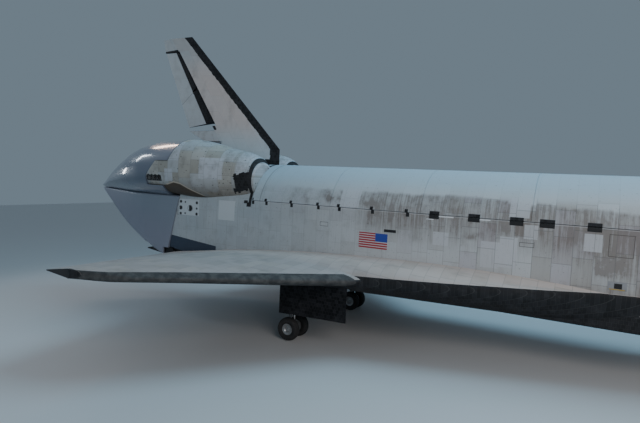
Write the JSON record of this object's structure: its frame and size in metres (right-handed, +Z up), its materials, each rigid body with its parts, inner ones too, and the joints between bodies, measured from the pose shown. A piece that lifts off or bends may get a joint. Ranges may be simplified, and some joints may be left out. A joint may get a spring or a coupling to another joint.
{
  "type": "space shuttle orbiter with tail cone, 1:2 scale model",
  "caption": "Winged space shuttle orbiter standing on its landing gear, with a pointed tail cone over its tail, bay doors that open and moving control surfaces.",
  "frame": {"origin": "on the floor, under the middle of the whole object's box", "axes": "+X forward, towards the nose; +Y to the orbiter's left; +Z up. It stands 3 degrees nose down on its gear."},
  "size_m": [21.4354, 11.8948, 8.6643],
  "materials": {
    "white_tile": "matt white ceramic tile",
    "white_felt": "matt white felt blanket",
    "black_tile": "matt black ceramic tile",
    "carbon": "matt grey carbon",
    "dark_glass": "dark glass",
    "cone_gloss": "glossy pale grey paint",
    "cone_side": "satin pale grey paint",
    "radiator_metal": "bright silvered panel",
    "gear_paint": "satin white paint",
    "wheel_metal": "dull metal",
    "tyre": "black rubber"
  },
  "bodies": {
    "airframe": {"nose_cap": "carbon", "forward_fuselage": "white_tile", "forward_thruster_module": "white_tile", "cockpit_glazing": "dark_glass", "mid_fuselage": "white_tile", "aft_fuselage": "white_tile", "tail_cone_upper": "cone_gloss", "tail_cone_lower": "cone_side", "fin": "white_tile", "parachute_housing": "white_tile", "nose_gear_leg": "gear_paint", "engine_pod_left": "white_felt", "wing_left": "white_tile", "wing_leading_edge_left": "carbon", "main_gear_leg_left": "gear_paint", "nose_gear_door_left": "black_tile", "main_gear_door_left": "black_tile", "engine_pod_right": "white_felt", "wing_right": "white_tile", "wing_leading_edge_right": "carbon", "main_gear_leg_right": "gear_paint", "nose_gear_door_right": "black_tile", "main_gear_door_right": "black_tile"},
    "crew_hatch": {"crew_hatch": "white_tile"},
    "body_flap": {"body_flap": "black_tile"},
    "rudder": {"rudder_hinge_fairing": "black_tile"},
    "nose_steering": {"nose_gear_fork": "gear_paint"},
    "nose_wheels": {"nose_wheels": "wheel_metal", "nose_tyre_left": "tyre", "nose_tyre_right": "tyre"},
    "payload_bay_door_left": {"payload_bay_door_left": "white_felt", "radiator_left": "radiator_metal"},
    "inboard_elevon_left": {"inboard_elevon_left": "white_tile"},
    "outboard_elevon_left": {"outboard_elevon_left": "white_tile"},
    "speed_brake_left": {"speed_brake_left": "white_tile"},
    "main_wheels_left": {"main_wheels_left": "wheel_metal", "main_tyre_inner_left": "tyre", "main_tyre_outer_left": "tyre"},
    "payload_bay_door_right": {"payload_bay_door_right": "white_felt", "radiator_right": "radiator_metal"},
    "inboard_elevon_right": {"inboard_elevon_right": "white_tile"},
    "outboard_elevon_right": {"outboard_elevon_right": "white_tile"},
    "speed_brake_right": {"speed_brake_right": "white_tile"},
    "main_wheels_right": {"main_wheels_right": "wheel_metal", "main_tyre_inner_right": "tyre", "main_tyre_outer_right": "tyre"}
  },
  "joints": [
    {"name": "payload_bay_door_left_open", "type": "hinge", "parent": "airframe", "child": "payload_bay_door_left", "pos_m": [1.77158, 1.34239, 3.14885], "axis": [-0.9986, 0, 0.0523], "range_deg": [0, 175.5]},
    {"name": "payload_bay_door_right_open", "type": "hinge", "parent": "airframe", "child": "payload_bay_door_right", "pos_m": [1.77158, -1.34239, 3.14885], "axis": [0.9986, 0, -0.0523], "range_deg": [0, 175.5]},
    {"name": "crew_hatch_open", "type": "hinge", "parent": "airframe", "child": "crew_hatch", "pos_m": [7.44529, 1.24841, 1.72601], "axis": [-0.9986, 0, 0.0523], "range_deg": [0, 90]},
    {"name": "inboard_elevon_left_turn", "type": "hinge", "parent": "airframe", "child": "inboard_elevon_left", "pos_m": [-3.91315, 3.96875, 1.93466], "axis": [0.0023, 0.999, 0.0446], "range_deg": [-20, 35]},
    {"name": "outboard_elevon_left_turn", "type": "hinge", "parent": "airframe", "child": "outboard_elevon_left", "pos_m": [-3.91315, 3.96875, 1.93466], "axis": [0.0023, 0.999, 0.0446], "range_deg": [-20, 35]},
    {"name": "inboard_elevon_right_turn", "type": "hinge", "parent": "airframe", "child": "inboard_elevon_right", "pos_m": [-3.91315, -3.96875, 1.93466], "axis": [-0.0023, 0.999, -0.0446], "range_deg": [-20, 35]},
    {"name": "outboard_elevon_right_turn", "type": "hinge", "parent": "airframe", "child": "outboard_elevon_right", "pos_m": [-3.91315, -3.96875, 1.93466], "axis": [-0.0023, 0.999, -0.0446], "range_deg": [-20, 35]},
    {"name": "body_flap_turn", "type": "hinge", "parent": "airframe", "child": "body_flap", "pos_m": [-5.7615, 0, 1.85223], "axis": [0, 1, 0], "range_deg": [-22.5, 11.7]},
    {"name": "rudder_turn", "type": "hinge", "parent": "airframe", "child": "rudder", "pos_m": [-5.94205, 0, 6.91051], "axis": [-0.5274, 0, 0.8496], "range_deg": [-27.1, 27.1]},
    {"name": "speed_brake_left_open", "type": "hinge", "parent": "rudder", "child": "speed_brake_left", "pos_m": [-5.94205, 0, 6.91051], "axis": [0.5274, 0, -0.8496], "range_deg": [0, 49.3]},
    {"name": "speed_brake_right_open", "type": "hinge", "parent": "rudder", "child": "speed_brake_right", "pos_m": [-5.94205, 0, 6.91051], "axis": [-0.5274, 0, 0.8496], "range_deg": [0, 49.3]},
    {"name": "nose_wheel_steering", "type": "hinge", "parent": "airframe", "child": "nose_steering", "pos_m": [8.81157, 0, 0.61794], "axis": [0.0523, 0, 0.9986], "range_deg": [-10, 10]},
    {"name": "nose_wheels_roll", "type": "hinge", "parent": "nose_steering", "child": "nose_wheels", "pos_m": [8.78982, 0, 0.20292], "axis": [0, 1, 0], "continuous": true},
    {"name": "main_wheels_left_roll", "type": "hinge", "parent": "airframe", "child": "main_wheels_left", "pos_m": [-1.2655, 1.7272, 0.2823], "axis": [0, 1, 0], "continuous": true},
    {"name": "main_wheels_right_roll", "type": "hinge", "parent": "airframe", "child": "main_wheels_right", "pos_m": [-1.2655, -1.7272, 0.2823], "axis": [0, 1, 0], "continuous": true}
  ]
}
